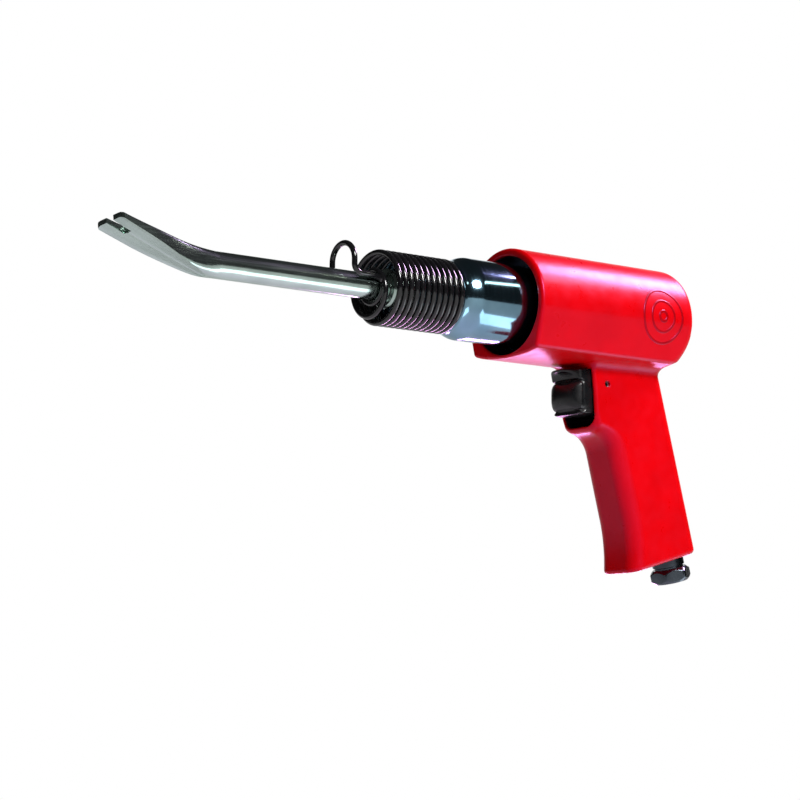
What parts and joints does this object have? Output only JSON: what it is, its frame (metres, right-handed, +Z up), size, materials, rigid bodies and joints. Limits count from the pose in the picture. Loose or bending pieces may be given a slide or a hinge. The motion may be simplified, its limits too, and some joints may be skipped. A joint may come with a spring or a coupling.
{
  "type": "pneumatic air hammer",
  "caption": "Red pistol-grip pneumatic air hammer with a black barrel, an open coil retainer spring with a thumb loop, a black trigger and a forked panel cutter chisel.",
  "frame": {"origin": "centre of the mouth of the threaded air inlet, at the outer face of the inlet bushing's hexagon", "axes": "+Z up with the barrel level, -X along the barrel towards the chisel's tip, +X towards the rear of the tool, the tool's middle plane at Y = 0"},
  "size_m": [0.356, 0.0584, 0.1655],
  "materials": {
    "red_paint": "gloss",
    "black_steel": "polished black oxide",
    "spring_steel": "gloss black",
    "chisel_steel": "satin",
    "bright_steel": "ground",
    "valve_steel": "turned",
    "brass": "turned",
    "rubber": "matt",
    "black_plastic": "gloss",
    "gasket_fibre": "matt",
    "inlet_steel": "black oxide"
  },
  "bodies": {
    "housing": {"handle_housing": "red_paint", "barrel": "black_steel", "lock_ring": "black_steel", "barrel_seal": "rubber", "retainer_spring": "spring_steel", "front_valve_case": "valve_steel", "rear_valve_case": "valve_steel", "valve_dowels": "bright_steel", "valve_gasket": "gasket_fibre", "trigger_pin": "valve_steel", "trigger_bushing": "brass", "trigger_seal": "rubber", "throttle_seat": "brass", "throttle_spring": "bright_steel", "spring_retainer": "brass", "inlet_screen": "bright_steel", "inlet_bushing": "inlet_steel"},
    "chisel": {"chisel": "chisel_steel"},
    "piston": {"piston": "bright_steel"},
    "cycle_valve": {"cycle_valve": "bright_steel"},
    "trigger": {"trigger": "black_plastic", "trigger_stem": "bright_steel"},
    "throttle_valve": {"throttle_valve": "bright_steel", "throttle_valve_seal": "rubber"}
  },
  "joints": [
    {"name": "trigger_slide", "type": "slide", "parent": "housing", "child": "trigger", "axis": [1, 0, 0], "range_m": [0, 0.0045], "stiffness_N_per_m": 1200, "springref_m": -0.004},
    {"name": "throttle_tilt", "type": "hinge", "parent": "housing", "child": "throttle_valve", "pos_m": [-0.02486, 0, 0.06907], "axis": [0, 1, 0], "range_deg": [0, 11.3], "deforming": ["throttle_spring"]},
    {"name": "piston_slide", "type": "slide", "parent": "housing", "child": "piston", "axis": [1, 0, 0], "range_m": [0, 0.0667]},
    {"name": "cycle_valve_slide", "type": "slide", "parent": "housing", "child": "cycle_valve", "axis": [1, 0, 0], "range_m": [0, 0.0007]},
    {"name": "chisel_slide", "type": "slide", "parent": "housing", "child": "chisel", "axis": [-1, 0, 0], "range_m": [0, 0.004], "stiffness_N_per_m": 6000, "springref_m": -0.002}
  ],
  "couplings": [
    {"joint": "throttle_tilt", "follows": "trigger_slide", "rad_per_m": 43.827}
  ]
}
